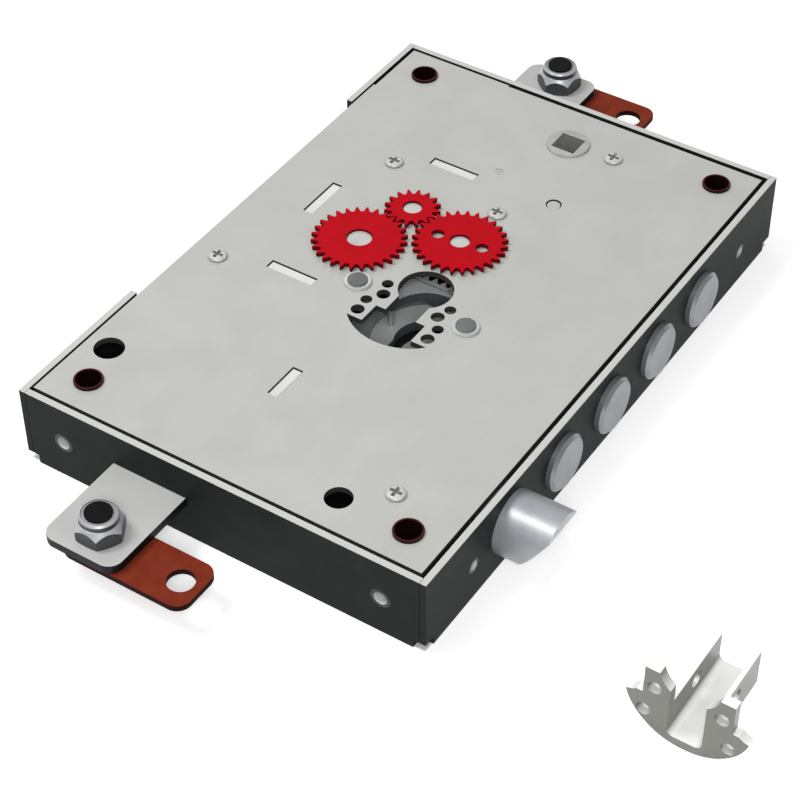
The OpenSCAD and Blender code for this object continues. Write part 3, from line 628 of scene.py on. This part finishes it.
def locking_nut(name, place, node_name, spin):
    """Make one nut in its place, turned about its axis by an angle."""
    flat = ACROSS_FLATS / 2
    corner = ACROSS_FLATS / math.sqrt(3)
    wide = corner + SPARE
    ring = flat - CHAMFER_IN
    drop = (wide - ring) * math.tan(CHAMFER)
    high = NUT_LOW + HEX_HIGH
    top = high + COLLAR_HIGH
    bpy.ops.object.select_all(action="DESELECT")
    bpy.ops.mesh.primitive_cylinder_add(
        vertices=6, radius=corner * MM, depth=(HEX_HIGH + COLLAR_HIGH) * MM, rotation=(0, 0, spin),
        location=(place[0] * MM, place[1] * MM, (NUT_LOW + (HEX_HIGH + COLLAR_HIGH) / 2) * MM))
    nut = bpy.context.object
    nut.name = name
    bpy.ops.object.transform_apply(location=True, rotation=True, scale=True)
    outside = [(NUT_AXIS_R, NUT_LOW), (flat + SPARE, NUT_LOW), (wide, NUT_LOW + FOOT_HIGH),
               (wide, high - drop), (ring, high), (COLLAR_R, high),
               (COLLAR_R, top - COLLAR_SLOPE_HIGH), (COLLAR_TOP_R, top), (NUT_AXIS_R, top)]
    combine(nut, turned_profile("turning", outside, place), "INTERSECT")
    inside = [(BORE_AXIS_R, NUT_LOW - BORE_BELOW), (STUD_R + MOUTH_WIDE, NUT_LOW - BORE_BELOW),
              (STUD_R, NUT_LOW + MOUTH_HIGH), (STUD_R, high), (NYLON_R, high),
              (NYLON_R, top + BORE_ABOVE), (BORE_AXIS_R, top + BORE_ABOVE)]
    combine(nut, turned_profile("bore", inside, place), "DIFFERENCE")
    merge_and_round(nut, NUT_MERGE_MM, NUT_EDGE_MM)
    nut.data.materials.clear()
    nut.data.materials.append(finishes["nut_steel"])
    stand_for(nut, node_name)
    return nut


for nut in (locking_nut("near_locking_nut", NEAR_STUD, "near_rod_nut", NEAR_SPIN),
            locking_nut("far_locking_nut", FAR_STUD, "far_rod_nut", FAR_SPIN)):
    print(nut.name, "faces:", len(nut.data.polygons))

# %% [markdown]
# ## Crosses in the cover screws
# A punch presses a cross into each screw head. Its arms are a little over one
# millimetre wide. Two boxes at right angles are cut out of each head, wide enough
# to show at this distance.

# %% Cut the crosses
SCREWS_MM = ((-56.6, -24.4), (44.2, -79.4), (-37.0, 43.8), (4.2, 39.2), (21.0, 83.0))
CROSS_LONG_MM = 3.9
CROSS_WIDE_MM = 1.1
CUT_HIGH_MM = 2.0

screw_heads = dressed["cover_screws"]
cut_middle_mm = COVER_TOP_MM + CROSS_FLOOR_MM + CUT_HIGH_MM / 2
for spot in SCREWS_MM:
    for arm in ((CROSS_LONG_MM, CROSS_WIDE_MM), (CROSS_WIDE_MM, CROSS_LONG_MM)):
        bpy.ops.object.select_all(action="DESELECT")
        bpy.ops.mesh.primitive_cube_add(
            size=1, location=Vector((*spot, cut_middle_mm)) * MM,
            scale=Vector((*arm, CUT_HIGH_MM)) * MM)
        bpy.ops.object.transform_apply(location=True, rotation=True, scale=True)
        combine(screw_heads, bpy.context.object, "DIFFERENCE")
even_shading(screw_heads)
print("crosses:", len(SCREWS_MM))

# %% [markdown]
# ## Floor and light
# A pale floor takes the shadow, and the world behind it is white to the camera.
# Three lamps light the object at a plain level, so a colour comes out about as it
# was written: one above, one near the camera that looks into the openings, and a
# weak one behind. A narrow spot lamp stands over the loose bracket, whose channel
# is white in the picture. The floor is dim to bounced light, or it would light the
# walls from below. It glows a little where the camera sees it, but not under the
# case, or the openings would show a white floor.

# %% World and floor
WHITE = (1, 1, 1, 1)
WORLD_LIGHT = 0.36
FLOOR_SEEN = (0.85, 0.85, 0.85, 1)
FLOOR_DIM = (0.32, 0.32, 0.32, 1)
FLOOR_GLOW = 0.5
GLOW_INSET_MM = 0.5
FLOOR_SIZE_M = 6
FLOOR_DROP_M = 0.00005


def white_world():
    """Light the object softly, and show plain white to the camera."""
    world = bpy.data.worlds.new("studio")
    scene.world = world
    world.use_nodes = True
    world.node_tree.nodes.clear()
    soft = add(world, "ShaderNodeBackground", {"Color": WHITE, "Strength": WORLD_LIGHT})
    seen = add(world, "ShaderNodeBackground", {"Color": WHITE, "Strength": 1.0})
    path = add(world, "ShaderNodeLightPath").outputs
    direct = add(world, "ShaderNodeMath", {"operation": "MAXIMUM"},
                 {0: path["Is Camera Ray"], 1: path["Is Transmission Ray"]})
    mix = add(world, "ShaderNodeMixShader", links={0: direct, 1: soft, 2: seen})
    add(world, "ShaderNodeOutputWorld", links={"Surface": mix})


def pale_floor():
    """A plane just below the lock that shows its shadow."""
    bpy.ops.object.select_all(action="DESELECT")
    bpy.ops.mesh.primitive_plane_add(size=FLOOR_SIZE_M, location=(0, 0, -FLOOR_DROP_M))
    floor = bpy.context.object
    floor.name = "studio_floor"
    material, place = start("pale studio floor")
    outside = beyond_walls(material, place, GLOW_INSET_MM)
    level = add(material, "ShaderNodeMath", {"operation": "MULTIPLY", 1: FLOOR_GLOW}, {0: outside})
    glow = add(material, "ShaderNodeEmission", links={"Strength": level})
    matte = add(material, "ShaderNodeBsdfDiffuse", {"Color": FLOOR_SEEN})
    seen = add(material, "ShaderNodeAddShader", links={0: matte, 1: glow})
    dim = add(material, "ShaderNodeBsdfDiffuse", {"Color": FLOOR_DIM})
    path = add(material, "ShaderNodeLightPath").outputs
    direct = add(material, "ShaderNodeMath", {"operation": "MAXIMUM"},
                 {0: path["Is Camera Ray"], 1: path["Is Glossy Ray"]})
    mix = add(material, "ShaderNodeMixShader", links={0: direct, 1: dim, 2: seen})
    add(material, "ShaderNodeOutputMaterial", links={"Surface": mix})
    floor.data.materials.append(material)


white_world()
pale_floor()
print("world strength:", WORLD_LIGHT, "floor:", FLOOR_SIZE_M, "m")

# %% Lamps
# Each row: name, place, size and power. Places here are in metres.
LAMPS = (
    ("lamp_above", (-0.6, -0.4, 1.32), 0.5, 8.5),
    ("lamp_near", (0.62, -0.94, 1.07), 0.4, 8.5),
    ("lamp_behind", (-0.9, 1.1, 1.0), 0.6, 1.5),
)
MIDDLE = (0, 0, 0)
BRACKET = (0.142, -0.08, 0.008)
OVER_BRACKET = (0.142, 0.02, 0.6)
SPOT_POWER = 7.8
SPOT_WIDE = math.radians(9)
SPOT_BLEND = 0.4
SPOT_R = 0.03


def lamp(name, kind, place, aim, power):
    """Put a lamp in its place, turned towards a point."""
    data = bpy.data.lights.new(name, kind)
    data.energy = power
    made = bpy.data.objects.new(name, data)
    scene.collection.objects.link(made)
    made.location = place
    made.rotation_euler = (Vector(aim) - Vector(place)).to_track_quat("-Z", "Y").to_euler()
    return data


for name, place, size, power in LAMPS:
    lamp(name, "AREA", place, MIDDLE, power).size = size
narrow = lamp("lamp_bracket", "SPOT", OVER_BRACKET, BRACKET, SPOT_POWER)
narrow.spot_size = SPOT_WIDE
narrow.spot_blend = SPOT_BLEND
narrow.shadow_soft_size = SPOT_R
print("lamps:", len(bpy.data.lights))
